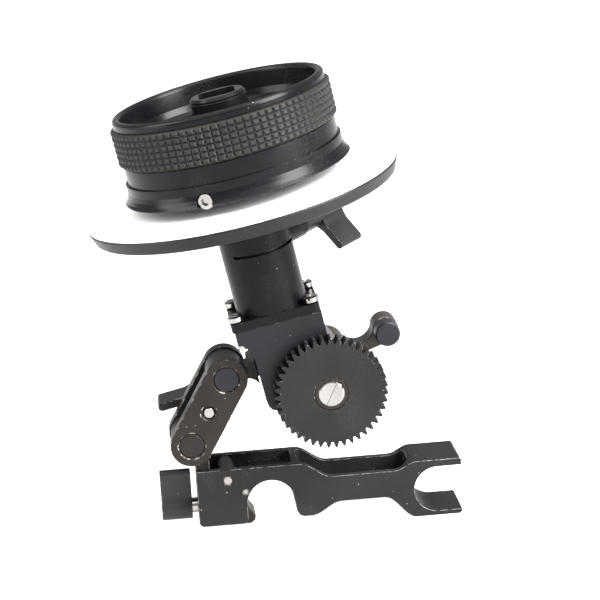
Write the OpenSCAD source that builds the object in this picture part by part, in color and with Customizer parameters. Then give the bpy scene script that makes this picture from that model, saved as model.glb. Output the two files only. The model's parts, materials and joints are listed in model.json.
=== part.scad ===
// Follow focus unit: rod bridge, swinging link and arm, right-angle gearbox,
// drive gear, marking disc and hand wheel. Millimetres, +Z up, +X along the
// bridge, -Y towards the operator's side of the photograph.

/* [Model] */
// Which sub-part to draw

/* [Rod seat and bridge] */
// Radius of the half-round rod seat, a loose fit on a 15 mm rod
seat_r = 7.75; // [7.6:0.05:8]
// Depth of the bridge along the rods
base_d = 17.2; // [15:0.1:20]
// Height of the raised left block's top above the rod axis
block_top = 12.4; // [11:0.1:14]
// Height of the slim middle's top above the rod axis
waist_top = 7.3; // [6.5:0.1:9]
// Height of the slim middle's underside
waist_low = -1.5; // [-3:0.1:-1]
// Left end of the bridge
block_x = -23.6; // [-26:0.1:-22]
// Underside of the left block
block_low = -6.5; // [-7:0.1:-6]
// Free end of the fork
fork_x = 62.7; // [61:0.1:66]
// Half height of the fork slot
fork_r = 7.7; // [7.6:0.05:8]
// Centre of the fork slot's round end
fork_cx = 54.7; // [54:0.1:56]
// Top of the fork's upper finger
fork_top = 10; // [9.5:0.1:11]
// Underside of the fork's lower finger
fork_low = -9.2; // [-10:0.1:-9]
// Thickness of the walls round the two pockets
pocket_wall = 2.2; // [1.8:0.1:3]
// Left end of the jaw cavity
cavity_x = -19.2; // [-20:0.1:-18.5]
// Left and right faces of the web between the pockets
web_x = 7.6; // [7:0.1:8.2]
// Thickness of the web between the pockets
web_t = 1.9; // [1.6:0.1:3]
// Right end of the long pocket
pocket_x = 45.6; // [40:0.1:46]
// Floor of the long pocket
pocket_floor = 0.6; // [0.2:0.1:2]
// Floor of the pocket over the rod seat
seat_floor = 9.5; // [9.2:0.1:10]

/* [Rod clamp] */
// Position of the jaw's pivot pin along the bridge
pivot_x = -13.6; // [-14:0.1:-13]
// Height of the jaw's pivot pin
pivot_z = 8.7; // [8.4:0.1:8.8]
// Radius of the jaw's pivot pin
pivot_r = 1.5; // [1.2:0.1:1.8]
// Radius of the jaw's stop pin
stop_r = 1; // [0.8:0.1:1.1]
// Position of the jaw's stop pin along the bridge
stop_x = -8.1; // [-8.4:0.1:-8]
// Height of the jaw's stop pin
stop_z = 4.4; // [4.2:0.1:4.8]
// Radius of the jaw's barrel round the pivot
jaw_r = 3.5; // [3.2:0.1:3.6]
// Underside of the jaw's nose
nose_low = -8.6; // [-9.1:0.1:-8]
// Height of the clamp screw's axis
clamp_z = -1.8; // [-2.2:0.1:-1.5]

/* [Clamp levers] */
// Radius of a clamp screw
screw_r = 2.5; // [2:0.1:2.6]
// Radius of a clamp lever's hub
lever_hub_r = 4.3; // [4:0.1:4.6]
// Width of a clamp lever along its screw
lever_w = 10; // [8:0.1:11]
// Thickness of a clamp lever's blade
blade_t = 2.8; // [2.4:0.1:3.4]
// Reach of a clamp lever from its axis to the blade's tip
blade_reach = 14.7; // [13:0.1:16]
// Reach of the link's clamp lever
link_reach = 16.4; // [14:0.1:17]
// Gap between the bridge's end and its clamp lever
lever_gap = 1.9; // [1.5:0.1:2.5]
// Lean of the bridge's clamp lever towards the operator
base_lever_lean = 16; // [0:1:30]

/* [Link] */
// Lower pin of the link along the bridge
link_x0 = -24.4; // [-25:0.1:-24]
// Height of the link's lower pin
link_z0 = 21.8; // [21.5:0.1:22.5]
// Distance between the link's two pins
link_len = 24.6; // [24:0.1:26]
// Lean of the link to the right of vertical
link_lean = 30.3; // [28:0.1:32]
// Radius of the link plates' round ends
link_r = 6.85; // [6.5:0.05:7]
// Thickness of a link plate
plate_t = 4.8; // [4:0.1:5]
// Radius of the link's two pins
link_pin_r = 4.05; // [3.8:0.05:4.2]
// Radius of the link clamp screw's tip
tip_r = 2; // [1.8:0.1:2.2]
// Side play between a link plate and the piece between the plates
side_play = 0.1; // [0.05:0.05:0.2]
// Width of the ear and of the arm's knuckle
knuckle_w = 9.2; // [8.8:0.1:9.4]

/* [Swing arm and tilt hub] */
// Tilt hub centre along the bridge
hub_x = 22.9; // [22.5:0.1:23.5]
// Height of the tilt hub centre
hub_z = 44.1; // [43.8:0.1:44.5]
// Thickness of the arm behind the gearbox
arm_t = 5; // [4.5:0.1:5.5]
// Radius of the arm's round end
arm_end_r = 6.3; // [6:0.1:6.8]
// Radius of the tilt lever's hub
tilt_hub_r = 6.3; // [6:0.1:6.8]
// Radius of the tilt lever's eye
eye_r = 4.4; // [4.3:0.1:4.8]
// Radius of the hollow between the tilt lever's hub and eye
hollow_r = 5.6; // [5:0.1:6.2]
// Thickness of the tilt lever
tilt_t = 8; // [7:0.1:8.5]
// Eye centre from the hub centre, along the bridge
eye_dx = 19.4; // [19:0.1:20]
// Eye centre from the hub centre, upwards
eye_dz = 5.3; // [5:0.1:5.6]
// Radius of the finger stub
stub_r = 4.1; // [3.6:0.1:4.2]
// Length of the finger stub in front of the eye
stub_len = 5.8; // [4:0.1:6]

/* [Head] */
// Lean of the hand wheel's axis to the left of vertical
head_lean = 10.9; // [5:0.1:15]
// Wheel axis at gear height, along the bridge
head_x = 9.58; // [9:0.01:10]
// Wheel axis in depth
head_y = 6.6; // [6.4:0.1:7]
// Height of the drive gear's axis at the wheel axis
head_z = 37.25; // [37:0.05:38]
// Half width of the flange across
flange_u = 14.4; // [14:0.1:15]
// Half width of the gearbox to the left of the wheel axis
box_u = 13.6; // [13.2:0.1:14]
// Half depth of the flange
flange_v = 11.6; // [11.5:0.1:12]
// Height of the seam between gearbox and tube
seam_w = 25; // [24.5:0.1:26]
// Thickness of the tube's flange
flange_t = 3; // [2.6:0.1:3.4]
// Depth of the gearbox behind the wheel axis
box_back = 7.9; // [7.8:0.1:8.2]
// Depth of the gear boss behind the wheel axis
boss_back = 5.2; // [5.2:0.1:7]
// Outer radius of the neck tube
tube_r = 11.5; // [11.3:0.1:11.6]
// Height of the saw cut in the neck tube
slit_w = 47.9; // [47.5:0.1:48.5]
// Top of the neck tube
tube_top = 61.6; // [61:0.1:62]
// Spacing of the flange screws from the axis, across
flange_su = 12.3; // [12:0.1:12.6]
// Spacing of the flange screws from the axis, in depth
flange_sv = 9; // [8.6:0.1:9.2]
// Radius of the boss round the disc clamp screw
clamp_boss_r = 4.7; // [4.4:0.1:5]
// Length of that boss from the wheel axis
clamp_boss_l = 20; // [18:0.1:21]
// Distance of the disc clamp lever's blade from the wheel axis
disc_lever_s = 27.7; // [25:0.1:29]
// Turn of the disc clamp lever's blade from straight down
disc_lever_turn = 38; // [0:1:60]
// Direction of the disc clamp screw from the bridge's direction
clamp_turn = 42; // [36:1:44]

/* [Gears] */
// Module of the drive gear
gear_m = 0.8; // [0.8:0.1:0.8]
// Teeth of the drive gear
gear_z = 43; // [40:1:46]
// Face width of the drive gear
gear_w = 6; // [5:0.1:6.5]
// Turn of the drive gear's first tooth from the bridge's direction
gear_phase = 6.2; // [0:0.1:8.3]
// Radius of the wheel shaft and of the gear shaft
shaft_r = 4; // [3.5:0.1:4]
// Teeth of each helical gear
helix_z = 11; // [11:1:11]
// Normal module of the helical gears
helix_m = 0.7; // [0.7:0.1:0.7]
// Face width of each helical gear
helix_w = 7; // [6:0.5:8]

/* [Marking disc] */
// Radius of the backing disc at its top edge
disc_r = 49.8; // [48:0.1:51]
// How far the backing disc's edge slopes in towards its lower edge
disc_slope = 1.4; // [0:0.1:3]
// Underside of the backing disc along the axis
disc_w = 62.5; // [62.2:0.1:63]
// Thickness of the backing disc
disc_t = 4.4; // [4:0.1:4.6]
// Thickness of the white marking disc
mark_t = 1; // [0.8:0.1:1.2]

/* [Hand wheel] */
// Gap between the marking disc and the wheel's collar
collar_gap = 3.5; // [3.2:0.1:5]
// Radius of the collar
collar_r = 34.5; // [34.2:0.1:35]
// How far the collar flares out at its lower edge
collar_flare = 1.6; // [0:0.1:2]
// Height of the collar
collar_h = 6.4; // [5.8:0.1:7]
// Height of the smooth neck under the grip
neck_h = 5.6; // [4:0.1:7]
// Radius of the smooth neck under the grip
neck_r = 33.7; // [33:0.1:34]
// Height of the knurled grip
grip_h = 12.4; // [10:0.1:14]
// Radius over the knurling
grip_r = 34.9; // [34.5:0.1:35.2]
// Radius under the knurled grip
grip_seat_r = 33; // [32.5:0.1:33.2]
// Height of the wheel's rounded lip above the grip
lip_h = 2.6; // [2:0.1:4]
// Thickness of the rounded lip
lip_t = 2.6; // [2:0.1:3]
// Depth of the wheel's dish under the lip
dish_depth = 9.9; // [8:0.1:11]
// Thickness of the wheel's web
web_floor_t = 3; // [2:0.1:4]
// Radius of the boss in the dish
boss_r = 9; // [8.8:0.1:9.4]
// Across the square crank socket
socket_af = 11.4; // [10:0.1:12]
// Radius across the socket's clipped corners
socket_r = 7.1; // [6.6:0.1:7.2]
// Radius of the socket's sleeve in the boss
socket_out_r = 8.1; // [7.8:0.1:8.2]

/* [Fits] */
// Running clearance on a radius
run_fit = 0.05; // [0.02:0.01:0.09]
// Gap between neighbouring turned pieces
turn_gap = 0.3; // [0.3:0.05:0.5]

/* [Hidden] */
$fn = 96;
link_x1 = link_x0 + link_len * sin(link_lean);
link_z1 = link_z0 + link_len * cos(link_lean);
link_xm = (link_x0 + link_x1) / 2;
link_zm = (link_z0 + link_z1) / 2;
mid_y = base_d / 2;
link_y0 = mid_y - knuckle_w / 2 - side_play - plate_t;
link_y1 = mid_y + knuckle_w / 2 + side_play;
arm_y = head_y + box_back + side_play;
tilt_y = arm_y + arm_t + 0.6;
base_lever_x = block_x - lever_gap - lever_w;
helix_r = helix_z * helix_m / cos(45) / 2;
gear_u = 2 * helix_r;
gear_or = gear_m * (gear_z + 2) / 2;
gear_y = -flange_v - 0.6 - gear_w;
hub_u = (hub_x - head_x) * cos(head_lean) + (hub_z - head_z) * sin(head_lean);
hub_w = -(hub_x - head_x) * sin(head_lean) + (hub_z - head_z) * cos(head_lean);
eye_a = atan2(eye_dz, eye_dx);
eye_l = norm([eye_dx, eye_dz]);
chamber_r = helix_r + helix_m + 0.3;
bush_r = 8;
sleeve_r = 9.5;
sleeve_w = 43;
nut_r = 13;
mark_w = disc_w + disc_t;
mark_top = mark_w + mark_t;
disc_low_r = disc_r - disc_slope;
nut_t = 1.4;
collar_w = mark_top + collar_gap;
collar_top = collar_w + collar_h;
collar_screw_w = collar_w + 1.6;
grip_low = collar_top + neck_h;
grip_top = grip_low + grip_h;
lip_top = grip_top + lip_h;
dish_w = lip_top - dish_depth;
web_low = dish_w - web_floor_t;
rim_bore_r = neck_r - 2.75;
shaft_top = dish_w - 0.3;
BLACK = [0.09, 0.09, 0.10];
DARK = [0.17, 0.17, 0.18];
BROWN = [0.27, 0.25, 0.24];
GREY = [0.45, 0.44, 0.42];
STEEL = [0.78, 0.78, 0.79];
BRASS = [0.58, 0.45, 0.28];
WHITE = [0.93, 0.93, 0.92];

// ---------- helpers ----------

// Points of a smooth step from one level to another
function ease(x0, z0, x1, z1, n = 8) =
  [for (i = [0:n]) let(t = i / n) [x0 + (x1 - x0) * t, z0 + (z1 - z0) * (1 - cos(180 * t)) / 2]];

// Points of an arc
function arc(cx, cz, r, a0, a1, n = 12) =
  [for (i = [0:n]) let(a = a0 + (a1 - a0) * i / n) [cx + r * cos(a), cz + r * sin(a)]];

// Draws an XZ outline as a slab from y0 to y1
module slab(y0, y1) {
  translate([0, y1, 0]) rotate([90, 0, 0]) linear_extrude(y1 - y0) children();
}

// A cylinder along +Y from y0 to y1 at x, z
module rod_y(x, z, r, y0, y1) {
  translate([x, y1, z]) rotate([90, 0, 0]) cylinder(r = r, h = y1 - y0);
}

// A cone along Y, radius r0 at y0 and r1 at y1
module cone_y(x, z, r0, r1, y0, y1) {
  translate([x, y1, z]) rotate([90, 0, 0]) cylinder(r1 = r1, r2 = r0, h = y1 - y0);
}

// A cylinder along +X from x0 to x1
module rod_x(x0, x1, y, z, r) {
  translate([x0, y, z]) rotate([0, 90, 0]) cylinder(r = r, h = x1 - x0);
}

// A turned pin with chamfered ends, along +Z from the origin
module pin(r, h, c = 0.4) {
  rotate_extrude() polygon([[0, 0], [r - c, 0], [r, c], [r, h - c], [r - c, h], [0, h]]);
}

// Places children in the tilted head: x across, y depth, z along the wheel axis
module head() {
  translate([head_x, head_y, head_z]) rotate([0, -head_lean, 0]) children();
}

// Places children on the disc clamp screw: z outwards along the screw
module disc_clamp() {
  head() translate([0, 0, slit_w + 0.7]) rotate([0, 0, clamp_turn]) rotate([0, 90, 0]) children();
}

// A clamp lever along +Z from 0 to w, blade along +y, bored for its screw
module lever_body(w, reach, neck = 0) {
  tip = reach - blade_t / 2;
  difference() {
    union() {
      translate([0, 0, -neck]) cylinder(r = lever_hub_r, h = w + neck);
      translate([-blade_t / 2, 0, 0]) cube([blade_t, tip, w]);
      translate([0, tip, 0]) cylinder(r = blade_t / 2, h = w);
      linear_extrude(w) polygon([[-3.4, 2.4], [-2, 4.4], [-blade_t / 2, 6.6], [blade_t / 2, 6.6],
        [2, 4.4], [3.4, 2.4]]);
    }
    translate([0, 0, -neck - 1]) cylinder(r = screw_r, h = w + neck + 2);
    translate([0, 0, w - 2]) cylinder(r = 3.3, h = 3);
  }
}

// A clamp screw from z0 to the lever's outer face at z1, slotted head let in
module clamp_screw_body(z0, z1) {
  difference() {
    union() {
      translate([0, 0, z0]) pin(screw_r, z1 - 2 - z0 + 0.4, 0.4);
      translate([0, 0, z1 - 2]) pin(3.2, 1.7, 0.3);
    }
    translate([-4, -0.4, z1 - 1]) cube([8, 0.8, 2]);
  }
}

// ---------- bridge and rod clamp ----------

module base_outline() {
  polygon(concat(
    [[block_x, block_low + 1], [block_x, block_top]],
    ease(9.6, block_top, 20.3, waist_top, 10),
    ease(40.6, waist_top, 48, fork_top, 8),
    [[fork_x - 0.6, fork_top], [fork_x, fork_top - 0.6], [fork_x, fork_r]],
    arc(fork_cx, 0, fork_r, 90, 270, 24),
    [[fork_x, -fork_r], [fork_x, fork_low + 0.8], [fork_x - 0.8, fork_low]],
    ease(47.6, fork_low, 37.2, waist_low, 10),
    ease(23, waist_low, 13, -5.7, 10),
    [[10.6, -5.7], [9.2, -5.1], [8.3, -3.6]],
    arc(0, 0, seat_r, 0, 180, 30),
    [[-seat_r - 0.1, block_low + 1], [-seat_r - 1.1, block_low], [block_x + 1, block_low]]));
}

module base_ear() {
  slab(mid_y - knuckle_w / 2, mid_y + knuckle_w / 2) union() {
    translate([link_x0, link_z0]) circle(r = link_r - 0.5);
    polygon([[block_x, block_top - 1], [block_x, 17], [link_x0 - 4, link_z0 - 4],
      [link_x0, link_z0], [link_x0 + 6, link_z0 - 1], [cavity_x + 0.6, block_top],
      [cavity_x, block_top - 1]]);
  }
}

module base_bridge() color(DARK) {
  difference() {
    union() {
      slab(0, base_d) base_outline();
      base_ear();
    }
    // true half-round rod seat and fork end
    rod_y(0, 0, seat_r, -1, base_d + 1);
    rod_y(fork_cx, 0, fork_r, -1, base_d + 1);
    // jaw cavity, open to the rod and below
    translate([cavity_x, pocket_wall, block_low - 3])
      cube([-seat_r - cavity_x + 2, base_d - 2 * pocket_wall, block_top - block_low + 6]);
    // shallow pocket over the seat
    translate([-12, pocket_wall, seat_floor]) cube([web_x + 12 - 2, base_d - 2 * pocket_wall, 5]);
    for (y = [pocket_wall + 2, base_d - pocket_wall - 2])
      translate([web_x - 2, y, seat_floor]) cylinder(r = 2, h = 5);
    translate([web_x - 3, pocket_wall + 2, seat_floor]) cube([3, base_d - 2 * pocket_wall - 4, 5]);
    // long pocket
    long_pocket();
    // screw, pins and the link's lower pin
    rod_x(block_x - 1, cavity_x + 1, mid_y, clamp_z, screw_r + run_fit);
    rod_y(pivot_x, pivot_z, pivot_r, -1, base_d + 1);
    rod_y(stop_x, stop_z, stop_r, -1, base_d + 1);
    rod_y(link_x0, link_z0, link_pin_r + run_fit, 0, base_d);
  }
}

// The long pocket, rounded at both ends and following the bridge's fall
module long_pocket() {
  x0 = web_x + web_t;
  y0 = pocket_wall;
  y1 = base_d - pocket_wall;
  h = block_top - pocket_floor + 2;
  translate([x0, y0 + 2, pocket_floor]) cube([pocket_x - x0, y1 - y0 - 4, h]);
  translate([x0 + 2, y0, pocket_floor]) cube([pocket_x - x0 - 5, y1 - y0, h]);
  for (y = [y0 + 2, y1 - 2]) translate([x0 + 2, y, pocket_floor]) cylinder(r = 2, h = h);
  for (y = [y0 + 3, y1 - 3]) translate([pocket_x - 3, y, pocket_floor]) cylinder(r = 3, h = h);
}

module jaw_pivot_pin() color(STEEL) {
  translate([pivot_x, 0.1, pivot_z]) rotate([-90, 0, 0]) pin(pivot_r, base_d - 0.2, 0.2);
}

module jaw_stop_pin() color(STEEL) {
  translate([stop_x, 0.1, stop_z]) rotate([-90, 0, 0]) pin(stop_r, base_d - 0.2, 0.2);
}

module rod_clamp_jaw() color(BROWN) {
  y0 = pocket_wall + 0.15;
  y1 = base_d - pocket_wall - 0.15;
  difference() {
    union() {
      slab(y0, y1) union() {
        translate([pivot_x, pivot_z]) circle(r = jaw_r);
        polygon([[pivot_x - jaw_r, pivot_z], [-16.9, 3], [-16.9, -5.4], [-9, -5.4], [-8.9, 0],
          [-10, 3.4], [pivot_x + jaw_r, pivot_z]]);
      }
      slab(mid_y - 3.2, y1) polygon([[-16.9, -4], [-16.9, -6.4], [-14, nose_low], [-6.6, nose_low],
        [-5.3, -7.6], [-5.05, -6.2], [-5.5, -5.5], [-6.4, -4.4], [-7.2, -2.9], [-7.7, -1.6],
        [-7.9, -0.6], [-9.4, 1.6], [-12, 1.6]]);
    }
    rod_y(pivot_x, pivot_z, pivot_r + run_fit, 0, base_d);
  }
}

module jaw_thrust_pad() color(STEEL) {
  difference() {
    translate([-18.8, mid_y, clamp_z]) rotate([0, 90, 0]) pin(3.6, 1.7, 0.3);
    rod_x(-19.4, -18, mid_y, clamp_z, 1.55);
  }
}

module base_clamp_screw() color(STEEL) {
  translate([base_lever_x, mid_y, clamp_z]) rotate([0, 90, 0]) mirror([0, 0, 1])
    translate([0, 0, -lever_w]) {
      clamp_screw_body(lever_w - 16.4, lever_w);
      translate([0, 0, lever_w - 17.4]) cylinder(r = 1.5, h = 2);
    }
}

module base_clamp_lever() color(BLACK) {
  translate([base_lever_x + lever_w, mid_y, clamp_z]) rotate([base_lever_lean, 0, 0])
    rotate([0, -90, 0]) rotate([0, 0, -90]) mirror([1, 0, 0]) lever_body(lever_w, blade_reach);
}

// ---------- link ----------

module link_plate(y0, y1, front) {
  rim = front ? y0 : y1;
  difference() {
    slab(y0, y1) union() {
      translate([link_x0, link_z0]) circle(r = link_r);
      translate([link_x1, link_z1]) circle(r = link_r);
      translate([link_x0, link_z0]) rotate(-link_lean) translate([-link_r, 0])
        square([2 * link_r, link_len]);
    }
    for (p = [[link_x0, link_z0], [link_x1, link_z1]]) {
      rod_y(p[0], p[1], link_pin_r, y0 - 1, y1 + 1);
      if (front) cone_y(p[0], p[1], link_pin_r + 0.4, link_pin_r - 0.1, y0 - 0.01, y0 + 0.5);
    }
    rod_y(link_xm, link_zm, (front ? tip_r : screw_r) + run_fit, y0 - 1, y1 + 1);
    if (front) cone_y(link_xm, link_zm, tip_r + 0.7, tip_r - 0.1, y0 - 0.01, y0 + 0.8);
  }
}

module link_front_plate() color(BROWN) link_plate(link_y0, link_y0 + plate_t, true);

module link_rear_plate() color(BROWN) link_plate(link_y1, link_y1 + plate_t, false);

module link_lower_pin() color(BROWN)
  translate([link_x0, link_y0 + 0.1, link_z0]) rotate([-90, 0, 0])
    pin(link_pin_r, link_y1 + plate_t - link_y0 - 0.2, 0.35);

module link_upper_pin() color(BLACK)
  translate([link_x1, link_y0 + 0.1, link_z1]) rotate([-90, 0, 0])
    pin(link_pin_r, link_y1 + plate_t - link_y0 - 0.2, 0.35);

link_lever_y = link_y1 + plate_t + 0.6;

module link_clamp_screw() color(STEEL)
  translate([link_xm, 0, link_zm]) rotate([-90, 0, 0]) {
    translate([0, 0, link_y0 + 0.3]) pin(tip_r, plate_t + 1, 0.5);
    clamp_screw_body(link_y0 + plate_t + 0.6, link_lever_y + lever_w + 1);
  }

module link_clamp_lever() color(BLACK)
  translate([link_xm, link_lever_y, link_zm]) rotate([-90, 0, 0]) rotate([0, 0, 77.5])
    lever_body(lever_w + 1, link_reach);

// ---------- arm and tilt hub ----------

// The arm's edge beside the gearbox at height z, leaning with the head
function beside_box(z) = [-1.75 - (z - 43) * tan(head_lean), z];

// Waisted neck from the knuckle to the gearbox's side, upper or lower edge
neck_top = [[-6.4, 45.9], [-5.6, 45.45], [-4.6, 45.6], [-3.9, 46.1], beside_box(47.4)];
neck_low = [beside_box(38.7), [-1.4, 39.6], [-2.2, 40.5], [-3, 41], [-3.9, 41.4], [-4.9, 41.5],
  [-6, 41.1]];

module swing_arm() color(BROWN) {
  y0 = mid_y - knuckle_w / 2;
  y1 = mid_y + knuckle_w / 2;
  step = [[-4.6, 45.6], [-3.9, 46.1], beside_box(47.4), beside_box(38.7), [-2.2, 40.5], [-3.9, 41.4],
    [-4.6, 41.5]];
  difference() {
    union() {
      rod_y(link_x1, link_z1, link_r - 0.5, y0, y1);
      slab(y0, y1) polygon(concat([[link_x1, link_z1 + 4], [-7.6, link_z1 + 4]], neck_top, neck_low,
        [[-7.6, link_z1 - 3.5], [link_x1, link_z1 - 4]]));
      slab(y1 - 0.1, arm_y + arm_t) polygon(step);
      slab(arm_y, arm_y + arm_t) polygon([beside_box(47.4), [4, 49.4], [hub_x, hub_z + arm_end_r],
        [hub_x, hub_z - arm_end_r], [4, 38.6], beside_box(38.7)]);
      rod_y(hub_x, hub_z, arm_end_r, arm_y, arm_y + arm_t);
    }
    rod_y(link_x1, link_z1, link_pin_r + run_fit, 0, base_d);
    rod_y(hub_x, hub_z, screw_r + run_fit, arm_y - 1, arm_y + arm_t + 1);
  }
}

module tilt_stud() color(STEEL)
  translate([hub_x, head_y + 6.2, hub_z]) rotate([-90, 0, 0])
    pin(screw_r, tilt_y + tilt_t + 0.6 - head_y - 6.2, 0.4);

module tilt_washer() color(STEEL) difference() {
  rod_y(hub_x, hub_z, 5.6, arm_y + arm_t, arm_y + arm_t + 0.5);
  rod_y(hub_x, hub_z, screw_r + 0.1, arm_y, tilt_y + 1);
}

// A point at distance l and angle a from the hub
function from_hub(l, a) = [hub_x + l * cos(a), hub_z + l * sin(a)];

// Web between hub and eye, let a little into both: hollow above, straight below
module tilt_web(sink = 0.15) {
  hub = tilt_hub_r - sink;
  eye = eye_r - sink;
  h = hub + hollow_r;
  e = eye + hollow_r;
  c = from_hub(h, eye_a + acos((h * h + eye_l * eye_l - e * e) / (2 * h * eye_l)));
  eye_c = from_hub(eye_l, eye_a);
  low = eye_a - acos((hub - eye) / eye_l);
  polygon(concat([from_hub(0, 0), from_hub(hub, low)],
    [eye_c + eye * [cos(low), sin(low)], eye_c],
    arc(c[0], c[1], hollow_r, atan2(eye_c[1] - c[1], eye_c[0] - c[0]),
      atan2(hub_z - c[1], hub_x - c[0]), 16)));
}

module tilt_lever() color(GREY) {
  ex = hub_x + eye_dx;
  ez = hub_z + eye_dz;
  difference() {
    union() {
      rod_y(hub_x, hub_z, tilt_hub_r, tilt_y, tilt_y + tilt_t);
      rod_y(ex, ez, eye_r, tilt_y, tilt_y + tilt_t);
      slab(tilt_y, tilt_y + tilt_t) tilt_web();
    }
    rod_y(hub_x, hub_z, screw_r + run_fit, tilt_y - 1, tilt_y + tilt_t + 1);
    rod_y(ex, ez, 2, tilt_y - 1, tilt_y + tilt_t + 1);
  }
}

module finger_stub() color(BLACK)
  translate([hub_x + eye_dx, 0, hub_z + eye_dz]) rotate([-90, 0, 0]) {
    translate([0, 0, tilt_y - stub_len]) pin(stub_r, stub_len, 0.45);
    translate([0, 0, tilt_y - 1]) pin(2, tilt_t + 0.8, 0.3);
  }

// ---------- gearbox and neck ----------

module box_outline() {
  polygon(concat(
    [[-box_u, seam_w], [-box_u, 22.6], [-13.4, 21.7], [-12.6, 20.7], [-11.9, 20.2], [-11.2, 19.3],
     [-10.6, 18.2], [-10, 17], [-9.6, 14.7], [-9.5, 1.2], [-9.2, -1], [-8.3, -2.4], [-6.9, -3.1],
     [-4.6, -4.6], [-2.4, -6.8], [0, -8.4]],
    arc(gear_u, 0, 9, 262, 385, 14),
    [[17.6, 10.5], [flange_u, 17.2], [flange_u, seam_w]]));
}

// Block with rounded upright corners, from -u0 to u1 across
module corner_block(u0, u1, w0, w1, r) {
  h = w1 - w0;
  translate([-u0 + r, -flange_v, w0]) cube([u0 + u1 - 2 * r, 2 * flange_v, h]);
  translate([-u0, -flange_v + r, w0]) cube([u0 + u1, 2 * (flange_v - r), h]);
  for (u = [r - u0, u1 - r], v = [-1, 1])
    translate([u, v * (flange_v - r), w0]) cylinder(r = r, h = h);
}

module flange_holes(r, w0, w1) {
  for (u = [-1, 1], v = [-1, 1])
    translate([u * flange_su, v * flange_sv, w0]) cylinder(r = r, h = w1 - w0);
}

module gearbox_housing() color(BLACK) head() {
  difference() {
    union() {
      difference() {
        slab(-flange_v, box_back) box_outline();
        // the gear boss is shallower than the box
        translate([flange_u + 0.1, boss_back, -10]) cube([10, 20, 27]);
      }
      corner_block(box_u, flange_u, 20.6, seam_w, 1.2);
    }
    // wheel shaft chamber and bush seat
    translate([0, 0, -5.2]) cylinder(r = chamber_r, h = 20);
    translate([0, 0, 14]) cylinder(r = bush_r, h = 20);
    // gear shaft chamber, bush seat and rear journal
    rod_y(gear_u, 0, chamber_r, -5, helix_w / 2 + 0.3);
    rod_y(gear_u, 0, 6, -flange_v - 1, -4.9);
    rod_y(gear_u, 0, 2 + run_fit, 3, box_back + 1);
    rod_y(hub_u, hub_w, screw_r, 6.1, box_back + 1);
    flange_holes(1.5, 18.5, seam_w + 1);
  }
}

module flange_screws() color(STEEL) head() difference() {
  union() {
    flange_holes(1.5, 19, seam_w + flange_t + 0.5);
    for (u = [-1, 1], v = [-1, 1])
      translate([u * flange_su, v * flange_sv, seam_w + flange_t]) pin(2.4, 2.3, 0.45);
  }
  for (u = [-1, 1], v = [-1, 1])
    translate([u * flange_su, v * flange_sv, seam_w + flange_t + 1.9]) rotate([0, 0, 20 + 50 * u])
      cube([6, 0.7, 1.4], center = true);
}

// A sector wedge used for the saw cut
module saw_cut() {
  difference() {
    translate([0, 0, slit_w - 0.5]) cylinder(r = tube_r + 1, h = 1);
    translate([0, 0, slit_w - 1]) cylinder(r = sleeve_r - 1, h = 2);
    translate([-20, -20, slit_w - 1]) cube([12, 40, 2]);
    translate([-20, 1, slit_w - 1]) cube([40, 20, 2]);
  }
}

module neck_tube() color(BLACK) difference() {
  union() {
    head() {
      corner_block(flange_u, flange_u, seam_w, seam_w + flange_t, 2.2);
      rotate_extrude() polygon([[0, seam_w + flange_t], [tube_r, seam_w + flange_t],
        [tube_r, seam_w + flange_t + 0.6], [tube_r, tube_top - 0.5], [tube_r - 0.5, tube_top],
        [0, tube_top]]);
    }
    disc_clamp() cylinder(r = clamp_boss_r, h = clamp_boss_l);
  }
  head() {
    translate([0, 0, seam_w - 1]) cylinder(r = bush_r, h = 19);
    translate([0, 0, sleeve_w]) cylinder(r = sleeve_r + run_fit, h = 30);
    saw_cut();
    flange_holes(1.7, seam_w - 1, seam_w + flange_t + 1);
    // flat recesses for the screw heads beside the tube
    for (u = [-1, 1], v = [-1, 1])
      translate([u * flange_su, v * flange_sv, seam_w + flange_t]) cylinder(r = 2.7, h = 3);
  }
  disc_clamp() cylinder(r = screw_r + run_fit, h = 30);
}

module bush(r0, r1, h) {
  rotate_extrude() polygon([[r0, 0], [r1 - 0.3, 0], [r1, 0.3], [r1, h - 0.3], [r1 - 0.3, h], [r0, h]]);
}

module shaft_bush_lower() color(BRASS) head() translate([0, 0, 14])
  bush(shaft_r + run_fit, bush_r, 7);

module shaft_bush_upper() color(BRASS) head() translate([0, 0, 35])
  bush(shaft_r + run_fit, bush_r, 7);

module gear_shaft_bush() color(BRASS) head() translate([gear_u, -flange_v, 0]) rotate([-90, 0, 0])
  bush(shaft_r + run_fit, 6, 5.4);

// ---------- disc clamp ----------

module disc_clamp_shoe() color(BRASS) difference() {
  disc_clamp() translate([0, 0, 8]) cylinder(r = screw_r - 0.1, h = 4);
  head() cylinder(r = sleeve_r + 0.1, h = 80);
}

module disc_clamp_screw() color(STEEL) disc_clamp() clamp_screw_body(12.1, disc_lever_s + lever_w);

module disc_clamp_lever() color(BLACK) disc_clamp() translate([0, 0, disc_lever_s])
  rotate([0, 0, -90 - disc_lever_turn])
    lever_body(lever_w, blade_reach, disc_lever_s - clamp_boss_l - turn_gap);

// ---------- marking disc ----------

module disc_hub() color(DARK) head() rotate_extrude()
  polygon([[7, sleeve_w + 0.4], [sleeve_r, sleeve_w + 0.4], [sleeve_r, tube_top + 0.1],
    [11.2, tube_top + 0.1], [11.2, disc_w], [sleeve_r, disc_w], [sleeve_r, mark_top + nut_t],
    [7, mark_top + nut_t]]);

module disc_backing() color(BLACK) head() rotate_extrude()
  polygon([[sleeve_r, disc_w], [disc_low_r - 0.5, disc_w], [disc_low_r, disc_w + 0.4],
    [disc_r - 0.1, mark_w - 0.6], [disc_r - 0.3, mark_w], [sleeve_r, mark_w]]);

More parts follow.
